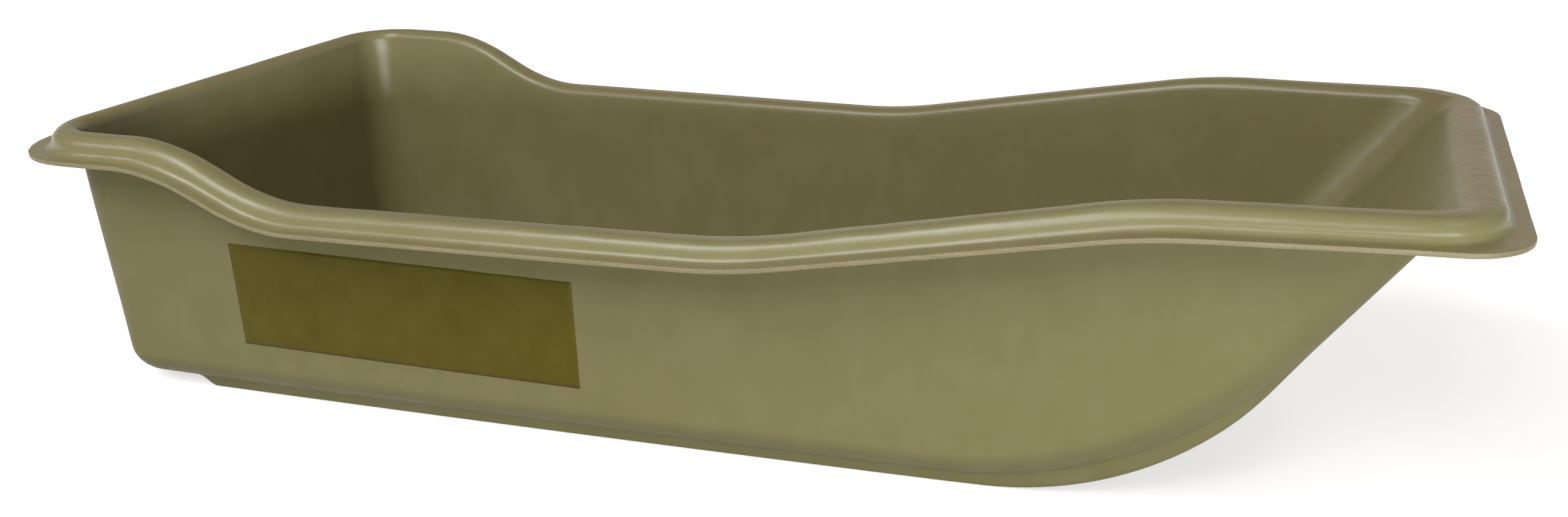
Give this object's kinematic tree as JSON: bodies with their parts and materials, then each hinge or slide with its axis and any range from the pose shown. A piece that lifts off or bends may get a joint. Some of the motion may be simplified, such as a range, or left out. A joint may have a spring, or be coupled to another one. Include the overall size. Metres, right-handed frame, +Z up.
{
  "type": "ice fishing sled",
  "caption": "Open tub sled for hauling fishing gear over ice, moulded in one sheet, with a rolled bead rim, a raised stern and bow, an upswept bow slope and pressed-in runners.",
  "frame": {"origin": "on the ground plane (the runner soles), under the centre of the sled's overall length and width", "axes": "+X to the bow, the end that the sled is towed by; +Z up out of the tub; -Y to the labelled side"},
  "size_m": [1.45, 0.6526, 0.3093],
  "materials": {
    "hull_plastic": "satin moulded polyethylene, olive drab",
    "label_film": "satin printed film, dark olive, plain"
  },
  "bodies": {
    "root": {"hull": "hull_plastic", "side_label": "label_film"}
  },
  "joints": []
}
